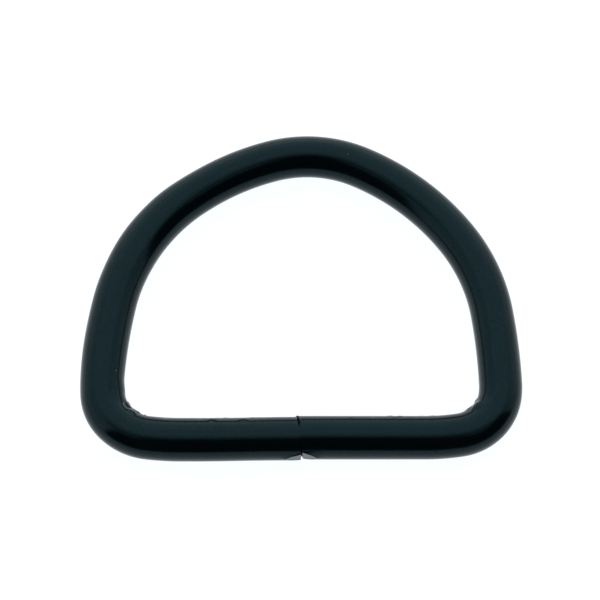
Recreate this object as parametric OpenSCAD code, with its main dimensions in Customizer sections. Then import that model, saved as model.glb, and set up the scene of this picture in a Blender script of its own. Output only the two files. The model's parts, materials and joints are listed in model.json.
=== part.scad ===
// D ring bent from one piece of round wire. It lies flat: the straight bar runs
// along X, the arch rises towards +Y, and the wire rests on the plane Z = 0. The
// two ends of the wire butt together, unwelded, in the middle of the bar.

/* [Wire] */
// Diameter of the round wire with its coat
wire_d = 3; // [2:0.1:4]

/* [Ring] */
// Clear width between the legs, where they stand widest apart
inside_w = 25.2; // [21:0.2:32]
// Clear height from the bar to the top of the arch
inside_h = 19; // [16:0.5:24]
// Inside radius of the corners between the legs and the bar
corner_r = 2; // [1.6:0.1:3]
// How far the top of the arch lies to the right of the middle
crown_shift = 0.45; // [-1:0.05:1]

/* [Joint] */
// How far the joint lies to the right of the middle
joint_shift = -0.1; // [-3:0.1:3]
// Width of the slit between the two ends
slit_w = 0.06; // [0.04:0.01:0.4]
// How far the cut leans from square, in degrees
cut_lean = 5; // [0:0.5:12]
// How far the right half of the bar stands further in than the left half
end_step = 0.1; // [0:0.02:0.3]
// Width of the notch where the rounded edges of the two ends meet
notch_w = 0.24; // [0.1:0.02:0.6]
// Depth of that notch, on the inner and on the outer side of the bar
notch_h = 0.28; // [0.1:0.02:0.5]
// Length along the bar of the flat that the cutter left on the outer side of each end
flat_w = 1.2; // [0.5:0.1:3]
// Depth of that flat at the end of the wire
flat_h = 0.2; // [0.05:0.05:0.4]

/* [Corners] */
// Depth of the crease that the bend pinched into the inside of each corner
crease_h = 0.16; // [0.05:0.01:0.3]
// Width of that crease
crease_w = 0.5; // [0.2:0.05:1]
// How far the metal on each side of the crease is pushed out
lump_h = 0.1; // [0.02:0.02:0.3]
// Width of that pushed-out metal along the wire
lump_w = 0.9; // [0.4:0.1:1.5]

/* [Hidden] */
coat_color = [0.05, 0.09, 0.1];

// Sides of the wire's section, and how far a facet may stand off the true curve
wire_sides = 24;
facet_gap = 0.015;
// Most degrees that the creased corners turn between two sections
corner_step = 4;

wire_r = wire_d / 2;
corner_line_r = corner_r + wire_r;
half_w = (inside_w + wire_d) / 2;
line_h = inside_h + wire_d;
joint_x = joint_shift;

// Kinds of arc. The radius of an arc is its share of the size of its kind: the
// corners follow the corner radius, the legs the clear height, and the crown and
// the shoulders take the two radii that make the side meet the width and height.
CORNER = 0;
LEG = 1;
CROWN = 2;
SHOULDER = 3;

// Each side runs from the top of the arch down to the bar. A row is one arc of
// the middle line, with these columns: degrees that it turns, its kind, its share.
TURN = 0;
KIND = 1;
SHARE = 2;
right_arcs = [
    [25, CROWN, 0.55],
    [29, CROWN, 1.05],
    [28, SHOULDER, 1],
    [7, LEG, 2.3],
    [9, CORNER, 1.6],
    [73, CORNER, 1],
    [9, CORNER, 4.5],
];
left_arcs = [
    [16, CROWN, 0.6],
    [26, CROWN, 1.1],
    [37, SHOULDER, 1],
    [9, LEG, 2],
    [5, CORNER, 3.5],
    [40, CORNER, 0.9],
    [40, CORNER, 1.15],
    [7, CORNER, 5.5],
];
// Heading at which a corner is creased; a side heads across at 0 and down at 90
crease_heading = 122;

function sum(list) = list * [for (value = list) 1];

// Heading of a side before arc i
function heading(arcs, i) = i == 0 ? 0 : sum([for (k = [0 : i - 1]) arcs[k][TURN]]);

// How far arc i reaches across and down the ring for a radius of 1, up to the heading stop
function across(arcs, i, stop) =
    sin(min(stop, heading(arcs, i + 1))) - sin(min(stop, heading(arcs, i)));
function down(arcs, i) = cos(heading(arcs, i)) - cos(heading(arcs, i + 1));

// The same for all arcs of one kind, times their shares, down to where the leg is widest
function kind_across(arcs, kind) = sum([
    for (i = [0 : len(arcs) - 1]) arcs[i][KIND] == kind ? arcs[i][SHARE] * across(arcs, i, 90) : 0
]);
function kind_down(arcs, kind) = sum([
    for (i = [0 : len(arcs) - 1]) arcs[i][KIND] == kind ? arcs[i][SHARE] * down(arcs, i) : 0
]);

// Sizes of the four kinds for a side that reaches w across and h down. Two are
// given, and the crown's and the shoulder's solve the two equations for w and h.
function kind_sizes(arcs, w, h) =
    let (
        rest_w = w - kind_across(arcs, CORNER) * corner_line_r - kind_across(arcs, LEG) * inside_h,
        rest_h = h - kind_down(arcs, CORNER) * corner_line_r - kind_down(arcs, LEG) * inside_h,
        crown = [kind_across(arcs, CROWN), kind_down(arcs, CROWN)],
        shoulder = [kind_across(arcs, SHOULDER), kind_down(arcs, SHOULDER)],
        spread = crown[0] * shoulder[1] - shoulder[0] * crown[1]
    )
    [
        corner_line_r,
        inside_h,
        (rest_w * shoulder[1] - rest_h * shoulder[0]) / spread,
        (rest_h * crown[0] - rest_w * crown[1]) / spread,
    ];

// Radius and first point of arc i, and its point after a turn
function radius(arcs, sizes, i) = arcs[i][SHARE] * sizes[arcs[i][KIND]];
function first(arcs, sizes, i) =
    i == 0 ? [0, 0] :
    first(arcs, sizes, i - 1)
        + radius(arcs, sizes, i - 1) * [across(arcs, i - 1, 180), -down(arcs, i - 1)];
function point(arcs, sizes, i, turn) =
    let (h = heading(arcs, i))
    first(arcs, sizes, i) + radius(arcs, sizes, i) * [sin(h + turn) - sin(h), cos(h + turn) - cos(h)];

// Number of steps that keeps arc i's facets close to the curve
function steps(arcs, sizes, i) =
    let (curve_step = 2 * acos(1 - facet_gap / radius(arcs, sizes, i)))
    ceil(arcs[i][TURN] / (arcs[i][KIND] == CORNER ? min(corner_step, curve_step) : curve_step));

// Distances from the end of the wire at which the bar has a section
end_gaps = [
    for (share = [1, 0.7, 0.35]) notch_w / 2 + flat_w * share,
    for (share = [1, 0.5, 0]) notch_w / 2 * share,
];

// A station is a section's middle point, its heading and its distance from the
// end of the wire, which is past the flat everywhere but on the end of the bar.
POINT = 0;
HEADING = 1;
GAP = 2;
no_gap = notch_w + flat_w;
function stations(arcs, sizes, bar_x) = [
    for (i = [0 : len(arcs) - 1], k = [0 : steps(arcs, sizes, i) - 1])
        let (turn = arcs[i][TURN] * k / steps(arcs, sizes, i))
        [point(arcs, sizes, i, turn), heading(arcs, i) + turn, no_gap],
    [first(arcs, sizes, len(arcs)), 180, no_gap],
    for (gap = end_gaps) [[bar_x + gap, first(arcs, sizes, len(arcs))[1]], 180, gap],
];

// How far the inside of the wire stands out at a heading, sunk at the crease and lumpy beside it
function swelling(h) =
    let (away = abs(h - crease_heading) * corner_r * PI / 180)
    lump_h * max(0, 1 - pow((2 * away - crease_w - lump_w) / lump_w, 2))
        - crease_h * max(0, 1 - 2 * away / crease_w);

// Distance from the middle line outwards, flattened and notched towards the end of the wire
function outwards(a, gap) =
    let (
        flat = flat_h * max(0, 1 - gap / (notch_w / 2 + flat_w)),
        notch = notch_h * max(0, 1 - 2 * gap / notch_w),
        b = min(a, wire_r - flat)
    )
    b - sign(b) * notch * pow(b / wire_r, 4);

// One section of the wire. side is 1 on the right and -1 on the left, and lean
// shifts the section along the bar, so that the end faces lie along the cut.
function section(station, side, lean) = [
    for (k = [0 : wire_sides - 1])
        let (
            angle = 360 * k / wire_sides,
            r = wire_r + swelling(station[HEADING]) * pow(max(0, -cos(angle)), 3),
            a = outwards(r * cos(angle), station[GAP]),
            x = station[POINT][0] + a * sin(station[HEADING]),
            y = station[POINT][1] + a * cos(station[HEADING])
        )
        [side * x + (station[GAP] < no_gap ? lean * a : 0), y, r * sin(angle)]
];

// Middle of a section, from two of its points that face each other
function middle(ring) = (ring[wire_sides / 4] + ring[wire_sides * 3 / 4]) / 2;

// The skin runs from the left end of the wire over the arch to the right end
module wire_ring() {
    left_sizes = kind_sizes(left_arcs, half_w + crown_shift, line_h);
    right_sizes = kind_sizes(right_arcs, half_w - crown_shift, line_h - end_step);
    joint = joint_x - crown_shift;
    left = stations(left_arcs, left_sizes, slit_w / 2 - joint);
    right = stations(right_arcs, right_sizes, slit_w / 2 + joint);
    lean = tan(cut_lean);
    rings = concat(
        [for (i = [len(left) - 1 : -1 : 1]) section(left[i], -1, lean)],
        [for (station = right) section(station, 1, lean)]
    );
    n = wire_sides;
    last = len(rings) - 1;
    points = concat([for (ring = rings, p = ring) p], [middle(rings[0]), middle(rings[last])]);
    skin = [
        for (i = [0 : last - 1], k = [0 : n - 1])
            let (a = i * n + k, b = i * n + (k + 1) % n)
            for (face = [[a, b, b + n], [a, b + n, a + n]]) face
    ];
    left_end = [for (k = [0 : n - 1]) [len(points) - 2, (k + 1) % n, k]];
    right_end = [for (k = [0 : n - 1]) [len(points) - 1, last * n + k, last * n + (k + 1) % n]];
    color(coat_color)
        translate([crown_shift, line_h / 2, wire_r])
            polyhedron(points, concat(skin, left_end, right_end), convexity = 4);
}

wire_ring();
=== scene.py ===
# %% [markdown]
# A wire D ring, the small black ring that joins a strap to a bag. It is one piece of round steel
# wire, bent into a D and painted, and its two ends meet without a weld in the middle of the bar.
# This lesson bends that wire in Blender as a shop would: a round section is carried along the bar
# and turned around each bend, then the ends are cut, the corners are creased and the whole ring is
# painted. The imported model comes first, because it says where the ring lies and how big it is.

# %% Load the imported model
import json
import random
from math import ceil, cos, pi, radians, sin, tan

import bmesh
import bpy
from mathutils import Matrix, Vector

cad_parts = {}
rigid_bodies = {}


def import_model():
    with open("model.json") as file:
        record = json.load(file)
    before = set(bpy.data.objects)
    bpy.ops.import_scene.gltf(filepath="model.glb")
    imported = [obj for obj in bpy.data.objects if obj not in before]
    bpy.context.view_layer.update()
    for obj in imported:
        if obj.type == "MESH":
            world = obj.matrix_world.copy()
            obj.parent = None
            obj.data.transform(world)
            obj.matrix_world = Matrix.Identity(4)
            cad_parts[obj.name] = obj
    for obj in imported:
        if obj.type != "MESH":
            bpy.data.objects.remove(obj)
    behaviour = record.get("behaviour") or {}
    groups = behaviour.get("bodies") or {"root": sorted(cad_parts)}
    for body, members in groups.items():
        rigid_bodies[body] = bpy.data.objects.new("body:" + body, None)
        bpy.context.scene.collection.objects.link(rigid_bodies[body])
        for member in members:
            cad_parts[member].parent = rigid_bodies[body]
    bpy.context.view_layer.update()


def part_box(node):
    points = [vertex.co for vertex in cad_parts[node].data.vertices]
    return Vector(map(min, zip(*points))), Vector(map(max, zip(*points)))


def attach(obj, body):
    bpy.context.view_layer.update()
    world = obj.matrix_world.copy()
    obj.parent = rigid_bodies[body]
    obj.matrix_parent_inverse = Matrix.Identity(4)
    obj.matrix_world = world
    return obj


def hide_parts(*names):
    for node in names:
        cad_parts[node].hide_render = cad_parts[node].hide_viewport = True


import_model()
MM = 0.001

# %% [markdown]
# The ring's sizes can all be read off its box. It lies flat, so its height off the floor is the
# wire's thickness. Half of that thickness goes on each side of the middle line, the line that the
# centre of the wire follows, and everything else is measured along it.

# %% Read the wire and the middle line off the box
low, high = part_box("wire_ring")
BARE_R = (high.z - low.z) / 2
LINE_W = high.x - low.x - 2 * BARE_R
LINE_H = high.y - low.y - 2 * BARE_R
PAINT_T = 0.03 * MM
WIRE_R = BARE_R + PAINT_T
FLOOR_Z = low.z
LINE_Z = FLOOR_Z + WIRE_R
CROWN_SHIFT = 0.45 * MM
END_STEP = 0.15 * MM
print("wire radius", round(WIRE_R / MM, 3), "mm")
print("middle line", round(LINE_W / MM, 2), "by", round(LINE_H / MM, 2), "mm")

# %% [markdown]
# A bent wire isn't drawn with one curve. It is a chain of arcs, each tangent to the next, as it
# leaves the bending pins. Two chains start at the top of the arch, one for each half, and run down
# to the bar. Each row holds the degrees that the wire turns, the kind of bend, and its share of
# that kind's radius. The top is bent tighter than the flanks beside it, and the two halves
# differ a little, as they do on any ring that is bent cold.

# %% List the bends of both halves
RIGHT_BENDS = [
    (25, "crown", 0.55),
    (29, "crown", 1.05),
    (28, "shoulder", 1),
    (7, "leg", 2.3),
    (9, "corner", 1.6),
    (73, "corner", 1),
    (9, "corner", 4.5),
]
LEFT_BENDS = [
    (16, "crown", 0.6),
    (26, "crown", 1.1),
    (37, "shoulder", 1),
    (9, "leg", 2),
    (5, "corner", 3.5),
    (40, "corner", 0.9),
    (40, "corner", 1.15),
    (7, "corner", 5.5),
]
CORNER_R = 2 * MM + BARE_R
LEG_R = LINE_H - 2 * BARE_R
for name, bends in (("right", RIGHT_BENDS), ("left", LEFT_BENDS)):
    print("the", name, "half turns", sum(turn for turn, _, _ in bends), "degrees")

# %% [markdown]
# The radii of the crown and the shoulder aren't typed in. A half has to end exactly as far across
# and as far down as the box says, which gives two equations, and the two radii are what solves
# them. Change a bend in the list and the chain still closes.

# %% Work out the radii that make each half meet the box


def reach(bends, kind):
    """How far one kind of bend goes across, up to its widest point, and down, for a radius of 1."""
    wide = deep = heading = 0
    for turn, name, share in bends:
        start, stop = radians(heading), radians(heading + turn)
        if name == kind:
            wide += share * (sin(min(stop, pi / 2)) - sin(min(start, pi / 2)))
            deep += share * (cos(start) - cos(stop))
        heading += turn
    return Vector((wide, deep))


def with_radii(bends, width, height):
    """The bends of a half that is width across and height down, as pairs of degrees and radius."""
    crown, shoulder = reach(bends, "crown"), reach(bends, "shoulder")
    rest = Vector((width, height)) - reach(bends, "corner") * CORNER_R - reach(bends, "leg") * LEG_R
    spread = crown.cross(shoulder)
    sizes = {
        "crown": rest.cross(shoulder) / spread,
        "shoulder": crown.cross(rest) / spread,
        "leg": LEG_R,
        "corner": CORNER_R,
    }
    return [(turn, share * sizes[name]) for turn, name, share in bends]


right_half = with_radii(RIGHT_BENDS, LINE_W / 2 - CROWN_SHIFT, LINE_H - END_STEP)
left_half = with_radii(LEFT_BENDS, LINE_W / 2 + CROWN_SHIFT, LINE_H)
for name, half in (("right", right_half), ("left", left_half)):
    print("radius at the top of the", name, "half:", round(half[0][1] / MM, 2), "mm")

# %% [markdown]
# The wire starts as a circle that stands upright across the bar, a little past the joint, because
# the shears need some stock to cut off. A cylinder would give the bar at once, but not the bends,
# and a curve with a bevel would give the bends, but no ends and no rows of faces to mark.

# %% Stand a circle just past the joint
SIDES = 120
JOINT_X = -0.1 * MM
STOCK = 0.4 * MM
BAR_Y = low.y + BARE_R

bpy.ops.object.select_all(action="DESELECT")
bpy.ops.mesh.primitive_circle_add(
    vertices=SIDES,
    radius=WIRE_R,
    fill_type="NOTHING",
    location=(JOINT_X + STOCK, BAR_Y, LINE_Z),
    rotation=(0, pi / 2, 0),
)
ring = bpy.context.active_object
ring.name = "bent_wire"
ring.data.name = "bent_wire"
bpy.ops.object.transform_apply(location=True, rotation=True, scale=True)
point_gap = 2 * pi * WIRE_R / SIDES
print("circle of", len(ring.data.vertices), "points,", round(point_gap / MM, 3), "mm apart")

# %% [markdown]
# From here on the circle walks around the ring. Extrude carries it straight on, and spin turns it
# about the centre of a bend, which lies one radius to the right of where the wire is heading. The
# first stretch is only the end of the bar, in one long row of faces, so that it can be cut while
# nothing else is in the way.

# %% Walk the first stretch of the bar
END_LENGTH = 2.6 * MM


def ahead(heading):
    """The direction of a heading in degrees, 0 along X and 180 back along it."""
    return Vector((cos(radians(heading)), sin(radians(heading)), 0))


def walk_straight(here, heading, length, step):
    """Extrudes the selected section straight on, and returns where it is now."""
    count = ceil(length / step)
    stride = {"value": ahead(heading) * (length / count)}
    for _ in range(count):
        bpy.ops.mesh.extrude_region_move(TRANSFORM_OT_translate=stride)
    return here + ahead(heading) * length


def pick(test):
    """Selects the visible points of the wire for which test is true, and nothing else."""
    bpy.ops.mesh.select_mode(type="VERT")
    bpy.ops.mesh.select_all(action="DESELECT")
    mesh = bmesh.from_edit_mesh(ring.data)
    for point in mesh.verts:
        point.select = not point.hide and test(point.co)
    mesh.select_flush(True)
    bmesh.update_edit_mesh(ring.data)
    return sum(point.select for point in mesh.verts)


bpy.ops.object.mode_set(mode="EDIT")
bpy.ops.mesh.select_all(action="SELECT")
here = Vector((JOINT_X + STOCK, BAR_Y, LINE_Z))
here = walk_straight(here, 180, STOCK + END_LENGTH, STOCK + END_LENGTH)
print("the first stretch ends at x =", round(here.x / MM, 2), "mm")

# %% [markdown]
# The shears leave their marks on an end. The cut leans a few degrees. Its rim is chipped, so that
# the two ends meet in a small notch on the inner side, in a wider one on the outer side and in a fine
# groove on the front, and a burr stands on it. The jaw presses a flat on the outer side, deepest at
# the end, with a fine lip of metal above it. A cut here is a bisect with a plane. What lies past the
# plane is cleared, the hole is filled and its rim is marked sharp, as a file would leave it. The
# burr is drawn out before the flat is pressed, so that it can't pull at the flat's one big face. A
# plane that clears nothing only scores the skin. The one past the flat is there for the shading of
# the lip, which would run on along the bar without it.

# %% Cut, chip and flatten the left end
CUT_LEAN = radians(5)
JAW_DROP = radians(2.5)
LIP = 0.04 * MM
FINE = 1e-4 * MM
PAST_FLAT = 1.6
RIM_ANGLE = radians(21)
BURR_SET_BACK = 0.24 * MM
BURR_TAPER = 0.6
BURR = {"size": 0.18 * MM, "height": 0.17 * MM, "lean": 0.22 * MM}
INNER_CHIP = {"angle": 50, "width": 0.12 * MM, "depth": 0.16 * MM}
GROOVE = {"angle": 147, "width": 0.04 * MM, "depth": 0.28 * MM}
LEFT_FLAT = {"depth": 0.18 * MM, "length": 1 * MM}
LEFT_OUTER_CHIP = {"angle": 188, "width": 0.1 * MM, "depth": 0.4 * MM}
jaw = Vector((0, -cos(JAW_DROP), -sin(JAW_DROP)))
slant = Vector((1, tan(CUT_LEAN), 0))


def cut(place, direction, clear=True):
    """Cuts all that is visible along a plane, and clears the side that direction points to."""
    bpy.ops.mesh.select_all(action="SELECT")
    plane = {"plane_co": place, "plane_no": direction, "threshold": FINE}
    bpy.ops.mesh.bisect(**plane, clear_outer=clear, use_fill=clear)
    if clear:
        bpy.ops.mesh.mark_sharp()


def press_flat(centre, side, depth, length):
    """Flattens the outer side of the end whose wire runs to side, and raises the lip above the flat."""
    tilt = (jaw + Vector((-side * depth / length, 0, 0))).normalized()
    place = centre + jaw * (WIRE_R - depth)
    ridge = place - tilt * LIP
    cut(centre + Vector((side * PAST_FLAT * length, 0, 0)), Vector((1, 0, 0)), clear=False)
    cut(ridge - tilt * LIP, tilt, clear=False)
    cut(ridge, tilt, clear=False)
    cut(place, tilt)
    pick(lambda point: abs((point - ridge).dot(tilt)) < FINE and point.z > LINE_Z)
    bpy.ops.transform.translate(value=jaw * LIP)


def chip(centre, side, angle, width, depth):
    """Takes a chip off the rim at a section angle, measured from the inner side of the bar upwards."""
    outward = Vector((0, cos(radians(angle)), sin(radians(angle))))
    place = centre + (outward - Vector((tan(CUT_LEAN) * outward.y, 0, 0))) * (WIRE_R - depth)
    cut(place, (outward * width - slant * side * depth).normalized())


def raise_burr(place, outward, size, height, lean):
    """Draws a little burr out of the faces round a place on the rim, leaning along the bar."""
    for step in (-size / 2, size / 2):
        cut(place + Vector((step, 0, 0)), Vector((1, 0, 0)), clear=False)
    pick(lambda point: abs(point.x - place.x) < size / 2 + FINE and (point - place).length < size)
    rise = outward * height + Vector((lean, 0, 0))
    bpy.ops.mesh.extrude_region_move(TRANSFORM_OT_translate={"value": rise})
    bpy.ops.transform.resize(value=(BURR_TAPER, BURR_TAPER, BURR_TAPER))


joint = Vector((JOINT_X, BAR_Y, LINE_Z))
outer_joint = joint + Vector((tan(CUT_LEAN) * WIRE_R, 0, 0))
rim = Vector((0, cos(RIM_ANGLE), sin(RIM_ANGLE)))
burr_place = joint + rim * WIRE_R - Vector((BURR_SET_BACK, 0, 0))
cut(joint, slant)
raise_burr(burr_place, rim, **BURR)
chip(joint, -1, **INNER_CHIP)
chip(joint, -1, **GROOVE)
press_flat(outer_joint, -1, **LEFT_FLAT)
chip(joint, -1, **LEFT_OUTER_CHIP)
print("the left end has", len(bmesh.from_edit_mesh(ring.data).faces), "faces")

# %% [markdown]
# Then the far rim is picked again and the walk goes on around the ring. The steps are short in the
# corners and on the bar, where the surface gets its marks, and longer on the smooth arch. A walk
# like this leaves even rows of faces that a dent can use.

# %% Walk around the bends to the other end
BAR_STEP = 0.12 * MM
CORNER_STEP = 0.08 * MM
ARCH_STEP = 0.3 * MM


def walk_bend(here, heading, turn, radius):
    """Spins the selected section clockwise, and returns where it is and where it is heading."""
    step = CORNER_STEP if radius < 2 * CORNER_R else ARCH_STEP
    centre = here + ahead(heading - 90) * radius
    count = ceil(radians(turn) * radius / step)
    bpy.ops.mesh.spin(steps=count, angle=radians(turn), center=centre, axis=(0, 0, 1))
    heading -= turn
    return centre - ahead(heading - 90) * radius, heading


def reach_across(half):
    """How far a half carries the wire across from the top of the arch to the bar."""
    total = heading = 0
    for turn, radius in half:
        total += radius * (sin(radians(heading + turn)) - sin(radians(heading)))
        heading += turn
    return total


pick(lambda point: abs(point.x - here.x) < FINE)
heading = 180
here = walk_straight(here, heading, here.x - CROWN_SHIFT + reach_across(left_half), BAR_STEP)
for turn, radius in reversed(left_half):
    here, heading = walk_bend(here, heading, turn, radius)
print("the walk passes the top of the arch at", [round(value / MM, 3) for value in here], "mm")
for turn, radius in right_half:
    here, heading = walk_bend(here, heading, turn, radius)
here = walk_straight(here, heading, here.x - JOINT_X - END_LENGTH, BAR_STEP)
here = walk_straight(here, heading, END_LENGTH + STOCK, END_LENGTH + STOCK)
print("it ends at", [round(value / MM, 3) for value in here], "mm")

# %% [markdown]
# The right end overshoots the joint, so it runs through the left one for a moment. To cut it alone,
# the last row of faces is picked by growing the selection once from the rim, and everything else is
# hidden. Its flat is deeper than the other, and its outer rim has lost a bigger chip.

# %% Cut and flatten the right end
RIGHT_FLAT = {"depth": 0.22 * MM, "length": 0.95 * MM}
RIGHT_OUTER_CHIP = {"angle": 188, "width": 0.18 * MM, "depth": 0.4 * MM}

bpy.ops.mesh.select_more()
bpy.ops.mesh.hide(unselected=True)
right_joint = Vector((JOINT_X, here.y, LINE_Z))
right_outer = right_joint + Vector((tan(CUT_LEAN) * WIRE_R, 0, 0))
cut(right_joint, -slant)
chip(right_joint, 1, **GROOVE)
press_flat(right_outer, 1, **RIGHT_FLAT)
chip(right_joint, 1, **RIGHT_OUTER_CHIP)
chip(right_joint, 1, **INNER_CHIP)
bpy.ops.mesh.reveal(select=False)
print("the right half of the bar stands", round((here.y - BAR_Y) / MM, 2), "mm further in")

# %% [markdown]
# Wire springs back a little after each bend, so no real ring is exact. Here the left end rises
# towards the joint, and the left leg has been squeezed a little wider than the wire. Both are
# proportional moves: the picked points move all the way and their neighbours less and less. The
# first one follows the mesh, so that the other end, which touches this one, stays where it is.

# %% Let the left half spring back
END_RISE = 0.08 * MM
RISE_REACH = 6 * MM
LEG_SQUEEZE = 1.045
SQUEEZE_SHIFT = 0.9 * MM
SQUEEZE_HALF = 4 * MM
SQUEEZE_REACH = 5 * MM


def soft(size, connected=False):
    """The settings of a move that fades out over size."""
    return {
        "use_proportional_edit": True,
        "proportional_edit_falloff": "SMOOTH",
        "proportional_size": size,
        "use_proportional_connected": connected,
    }


end_start = JOINT_X - END_LENGTH / 2
left_end = pick(lambda point: point.y < 0 and point.x > end_start and (point - joint).dot(slant) < FINE)
bpy.ops.transform.translate(value=(0, END_RISE, 0), **soft(RISE_REACH, connected=True))
leg_x = low.x + BARE_R
middle = (leg_x + SQUEEZE_SHIFT, 0, LINE_Z)
squeezed = pick(lambda point: point.x < leg_x + 2 * WIRE_R and abs(point.y) < SQUEEZE_HALF)
bpy.ops.transform.resize(value=(LEG_SQUEEZE, 1, 1), center_override=middle, **soft(SQUEEZE_REACH))
print(left_end, "points of the left end rise and", squeezed, "points of the left leg are squeezed")

# %% [markdown]
# A cold bend pinches the metal on its inner side. It folds into a crease, and what is squeezed out
# stands as a lump on each side of it, rough where it touched the bending pin. Each mark is a small
# proportional push at a place on the wire, given by the degrees that the wire has turned since the
# top of the arch, and by the section angle, 0 on the inner side of the ring and 90 on top. The
# pushes were tuned one by one. The columns of a mark are those two angles, its height and its size
# in mm. The first two marks on the left are wide and low: the bulge that the bend left on the
# shoulder, and the swelling of the leg above the corner.

# %% Find a place on a corner by its bend and its section angle
left_turns, right_turns = (-1, left_half), (1, right_half)


def station(side, half, turned):
    """The middle of the wire and the direction to the ring's inside, where a half has turned so far."""
    spot, heading = Vector((CROWN_SHIFT, BAR_Y + LINE_H, LINE_Z)), 0
    for turn, radius in half:
        step = min(turn, turned - heading)
        start, stop = radians(heading), radians(heading + step)
        spot += Vector((side * (sin(stop) - sin(start)), cos(stop) - cos(start), 0)) * radius
        heading += step
        if step < turn:
            break
    return spot, Vector((-side * sin(radians(heading)), -cos(radians(heading)), 0))


def skin(side, half, turned, angle):
    """A place on the wire's skin, and the direction straight out of it."""
    spot, inside = station(side, half, turned)
    outward = inside * cos(radians(angle)) + Vector((0, 0, sin(radians(angle))))
    return spot + outward * WIRE_R, outward


corner_place = skin(*left_turns, 135, 0)[0]
print("inner side of the left corner at", [round(value / MM, 2) for value in corner_place], "mm")

# %% Pinch the corners
PUSH_CORE = 0.3
CORNER_MARKS = {
    "left": (left_turns, [
        (50, 170, 0.11, 4.50),
        (101, 10, 0.11, 1.20),
        (134, 28, -0.14, 0.36),
        (147, 38, 0.08, 0.36),
        (127, -4, 0.10, 0.30),
        (143, 6, 0.04, 0.45),
        (150, 8, 0.05, 0.55),
        (147, 20, 0.05, 0.22),
        (153, 20, 0.05, 0.22),
        (165, 22, 0.05, 0.12),
    ]),
    "right": (right_turns, [
        (133, 40, 0.11, 0.45),
        (130, -2, -0.06, 0.40),
        (122, 4, 0.06, 0.34),
        (117, 14, -0.06, 0.10),
        (123, 12, -0.06, 0.10),
        (141, 12, 0.05, 0.45),
        (149, 14, 0.02, 0.40),
    ]),
}


def push(place, outward, height, size):
    """Pushes the skin at a place out by height, or in if that is negative, fading out over size."""

    def near(point):
        offset = point - place
        rise = offset.dot(outward)
        return abs(rise) < WIRE_R / 2 and (offset - outward * rise).length < PUSH_CORE * size

    pick(near)
    bpy.ops.transform.translate(value=outward * height, **soft(size))


for name, (turns, marks) in CORNER_MARKS.items():
    for turned, angle, height, size in marks:
        place, outward = skin(*turns, turned, angle)
        push(place, outward, height * MM, size * MM)
    print(name, "corner:", len(marks), "marks")

# %% [markdown]
# The inner edge of the bar isn't smooth either. It slid over the pin while it was bent, so it has
# small hammered waves between the joint and the corners. They are seeded, so that each run gives the
# same ring.

# %% Roughen the inner edge of the bar
WAVE = 0.035 * MM
WAVES_START = 2.5 * MM
WAVES_END = 9.6 * MM

dice = random.Random(11)
waves = 0
for side, bar_y in ((-1, BAR_Y), (1, here.y)):
    reach = WAVES_START
    while reach < WAVES_END:
        angle = radians(dice.uniform(0, 40))
        outward = Vector((0, cos(angle), sin(angle)))
        place = Vector((side * reach, bar_y, LINE_Z)) + outward * WIRE_R
        push(place, outward, dice.uniform(-1, 1) * WAVE, dice.uniform(0.2, 0.4) * MM)
        reach += dice.uniform(0.25, 0.7) * MM
        waves += 1
print(waves, "waves on the inner edge")

# %% [markdown]
# Pushing never opens the skin, so closing it is only a matter of turning all faces outwards. Smooth
# shading with a limit keeps the cut ends and the rims of the flats sharp.

# %% Turn the faces outwards and shade the wire
SHARP = radians(30)
bpy.ops.mesh.select_all(action="SELECT")
bpy.ops.mesh.normals_make_consistent(inside=False)
bpy.ops.mesh.select_mode(type="EDGE")
bpy.ops.mesh.select_all(action="DESELECT")
bpy.ops.mesh.select_non_manifold()
open_edges = sum(edge.select for edge in bmesh.from_edit_mesh(ring.data).edges)
bpy.ops.object.mode_set(mode="OBJECT")
bpy.ops.object.shade_smooth_by_angle(angle=SHARP)
print("wire of", len(ring.data.polygons), "faces with", open_edges, "open edges")

# %% [markdown]
# A ring like this is dipped or sprayed black and baked, which leaves one thin opaque coat of gloss
# paint. It is nearly black in itself, and what is seen of it is what it reflects, with a blue-green
# cast. So the base colour is almost nothing and the reflection carries the tint. A low refraction
# keeps the top dull and the rims bright. The steel shows nowhere, so there is no layer under it.

# %% Mix the black paint
GRAIN = 0.09 * MM
CLOUD = 2.5 * MM
PEEL = 0.3 * MM
DUST_GAP = 1.9 * MM
DUST_R = 0.028 * MM

paint = bpy.data.materials.new("black_paint")
paint.use_nodes = True
nodes, links = paint.node_tree.nodes, paint.node_tree.links
coat = nodes["Principled BSDF"]
coat.inputs["IOR"].default_value = 1.3
coat.inputs["Specular Tint"].default_value = (0.45, 0.87, 1, 1)
place_on_ring = nodes.new("ShaderNodeTexCoord").outputs["Object"]


def noise(size, detail):
    """A noise over the ring whose spots are about size across, from 0 to 1."""
    texture = nodes.new("ShaderNodeTexNoise")
    texture.inputs["Scale"].default_value = 1 / size
    texture.inputs["Detail"].default_value = detail
    links.new(place_on_ring, texture.inputs["Vector"])
    return texture.outputs["Fac"]


def ramp(value, *stops):
    """Colours or grey levels along a value, each stop a place from 0 to 1 and a colour."""
    node = nodes.new("ShaderNodeValToRGB")
    for i, (place, colour) in enumerate(stops):
        stop = node.color_ramp.elements[i] if i < 2 else node.color_ramp.elements.new(place)
        stop.position = place
        stop.color = (*colour, 1)
    links.new(value, node.inputs["Fac"])
    return node.outputs["Color"]


print("paint starts from", len(nodes), "nodes")

# %% [markdown]
# No coat is even. The pigment is grainy, the gloss comes in soft clouds where the paint ran thicker,
# the surface has the fine peel of baked paint, and specks of dust have settled on it. All four are
# worked out from the ring's own coordinates, so they stay on the metal wherever the ring goes. The
# dust is a cell pattern in space, and only the cells whose middle meets the skin leave a speck.

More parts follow.
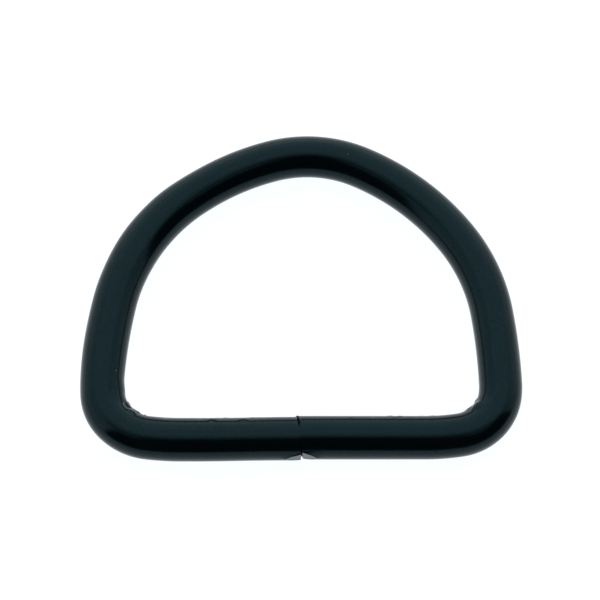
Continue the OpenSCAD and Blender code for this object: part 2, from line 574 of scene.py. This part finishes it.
# %% Give the paint its grain, clouds, peel and dust
flecks = noise(GRAIN, 3)
grain = ramp(flecks, (0.35, (0.0004, 0.0018, 0.0024)), (0.7, (0.0010, 0.0032, 0.0040)))
shine = ramp(flecks, (0.35, (0.4, 0.4, 0.4)), (0.65, (0.6, 0.6, 0.6)))
links.new(shine, coat.inputs["Specular IOR Level"])
dust = nodes.new("ShaderNodeTexVoronoi")
dust.inputs["Scale"].default_value = 1 / DUST_GAP
links.new(place_on_ring, dust.inputs["Vector"])
speck_r = DUST_R / DUST_GAP
speck = ramp(dust.outputs["Distance"], (speck_r, (1, 1, 1)), (2 * speck_r, (0, 0, 0)))
dusty = nodes.new("ShaderNodeMix")
dusty.data_type = "RGBA"
dusty.inputs["B"].default_value = (0.10, 0.11, 0.11, 1)
links.new(speck, dusty.inputs["Factor"])
links.new(grain, dusty.inputs["A"])
links.new(dusty.outputs["Result"], coat.inputs["Base Color"])

gloss = ramp(noise(CLOUD, 2), (0.3, (0.15, 0.15, 0.15)), (0.7, (0.21, 0.21, 0.21)))
links.new(gloss, coat.inputs["Roughness"])

peel = nodes.new("ShaderNodeBump")
peel.inputs["Strength"].default_value = 1
peel.inputs["Distance"].default_value = 0.0012 * MM
links.new(noise(PEEL, 2), peel.inputs["Height"])
links.new(peel.outputs["Normal"], coat.inputs["Normal"])
ring.data.materials.append(paint)
print("paint of", len(nodes), "nodes")

# %% [markdown]
# The ring lies on a plain white table that is lit so well that it turns pure white in a picture.
# The table matters, because half of what a round black wire reflects is the table. It glows a
# little by itself, as a light table does, so that no shadow of the ring is left on it.

# %% Lay a white table
bpy.ops.object.select_all(action="DESELECT")
bpy.ops.mesh.primitive_plane_add(size=4, location=(0, 0, FLOOR_Z))
table = bpy.context.active_object
table.name = "white_table"
white = bpy.data.materials.new("white_table")
white.use_nodes = True
sheet = white.node_tree.nodes["Principled BSDF"]
sheet.inputs["Base Color"].default_value = (0.12, 0.12, 0.12, 1)
sheet.inputs["Roughness"].default_value = 0.9
sheet.inputs["Specular IOR Level"].default_value = 0.1
sheet.inputs["Emission Color"].default_value = (0.92, 0.96, 1, 1)
sheet.inputs["Emission Strength"].default_value = 1.03
table.data.materials.append(white)
print("table of", [round(side, 2) for side in table.dimensions[:2]], "m")

# %% [markdown]
# Small shiny things are photographed in a tent of white cloth that is open in front. The dark band
# along the wire is that opening, and its soft edges are cloth that hangs at the mouth and catches
# less light. The tent here is a box of flat lights that meet edge to edge, because lights that
# overlap would add up to bright streaks. The mouth is made of narrow lights that grow weaker
# towards the front. Bearings are in degrees, 0 in front, 90 beside or above, and 180 behind.

# %% Choose the panels of the tent
GLOW = 1.5
COOL_WHITE = (0.85, 0.96, 1)
TENT_SIDE = 0.6
TENT_TOP = 0.8
TENT_FOOT = 0.02
CORNER_BEARING = 135
LEFT_WALL = (57, (0.72, 0.72, 0.75, 0.82))
RIGHT_WALL = (82, (0.60, 0.75, 0.85))
BACK_SHARE = 1.02
ROOF_SHARE = 0.94
ROOF_STRIPS = [
    (61, 66, 0.2, 0.2),
    (66, 71, 0.2, 0.4),
    (71, 77, 0, 0.2),
    (77, 83, 0, 0.46),
    (83, 89, 0, 0.74),
    (89, 95, 0, 0.87),
]


def panel(name, one, other, facing, share):
    """A soft panel of light between two opposite corners, shining towards facing."""
    one, other = Vector(one), Vector(other)
    size = [abs(other[axis] - one[axis]) for axis in range(3) if not facing[axis]]
    light = bpy.data.lights.new(name, "AREA")
    light.shape = "RECTANGLE"
    light.size, light.size_y = size
    light.energy = GLOW * share * pi * size[0] * size[1]
    light.color = COOL_WHITE
    lamp = bpy.data.objects.new(name, light)
    bpy.context.scene.collection.objects.link(lamp)
    lamp.location = (one + other) / 2
    lamp.rotation_euler = Vector(facing).to_track_quat("-Z", "Y").to_euler()


def along(distance, bearing):
    """How far back a sight line at a bearing meets a wall or roof that is distance away."""
    return -distance / tan(radians(bearing))


print("the mouth of the tent has", len(ROOF_STRIPS), "strips in the roof")

# %% Put up the tent
for name, side, (start, shares) in (("left", -1, LEFT_WALL), ("right", 1, RIGHT_WALL)):
    step = (CORNER_BEARING - start) / len(shares)
    for i, share in enumerate(shares):
        front, back = along(TENT_SIDE, start + i * step), along(TENT_SIDE, start + (i + 1) * step)
        x = side * TENT_SIDE
        panel(f"wall_{name}_{i}", (x, front, TENT_FOOT), (x, back, TENT_TOP), (-side, 0, 0), share)
foot, top = (-TENT_SIDE, TENT_SIDE, TENT_FOOT), (TENT_SIDE, TENT_SIDE, TENT_TOP)
panel("wall_back", foot, top, (0, -1, 0), BACK_SHARE)
for i, (start, stop, gap, share) in enumerate(ROOF_STRIPS):
    front, back = along(TENT_TOP, start), along(TENT_TOP, stop)
    for side in (-1, 1):
        inner, outer = side * gap, side * TENT_SIDE
        panel(f"roof_{i}_{side}", (inner, front, TENT_TOP), (outer, back, TENT_TOP), (0, 0, -1), share)
roof_front = along(TENT_TOP, ROOF_STRIPS[-1][1])
panel("roof", (-TENT_SIDE, roof_front, TENT_TOP), top, (0, 0, -1), ROOF_SHARE)

room = bpy.data.worlds.new("dim_room")
room.use_nodes = True
room.node_tree.nodes["Background"].inputs["Color"].default_value = (0.02, 0.02, 0.02, 1)
bpy.context.scene.world = room
print("tent of", len(bpy.data.lights), "lights in a dim room")

# %% [markdown]
# The camera stands in front of the bar and looks down, 22 degrees off square, so that the rim of the
# bar's far side still shows. A long lens from 144 mm away keeps the ring's shape almost free of
# perspective. It looks at the middle line, a little in front of the ring's middle.

# %% Set up the camera
CAMERA_TILT = radians(22)
CAMERA_REACH = 144 * MM
LENS = 120
AIM = Vector((-0.1 * MM, -0.45 * MM, LINE_Z))

camera_data = bpy.data.cameras.new("camera")
camera_data.lens = LENS
camera_data.sensor_width = 36
camera_data.clip_start = 0.005
camera = bpy.data.objects.new("camera", camera_data)
bpy.context.scene.collection.objects.link(camera)
camera.location = AIM + Vector((0, -sin(CAMERA_TILT), cos(CAMERA_TILT))) * CAMERA_REACH
camera.rotation_euler = (CAMERA_TILT, 0, 0)
bpy.context.scene.camera = camera
bpy.context.scene.view_settings.view_transform = "Standard"
print("camera at", [round(value / MM, 1) for value in camera.location], "mm")

# %% [markdown]
# Nothing on the ring moves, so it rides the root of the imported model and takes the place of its
# one solid. Both boxes are kept side by side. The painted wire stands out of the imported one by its
# paint, a squeezed leg and the lumps in the corners, which is less than a tenth of a millimetre.

# %% Hand the ring over
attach(ring, "root")
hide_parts("wire_ring")
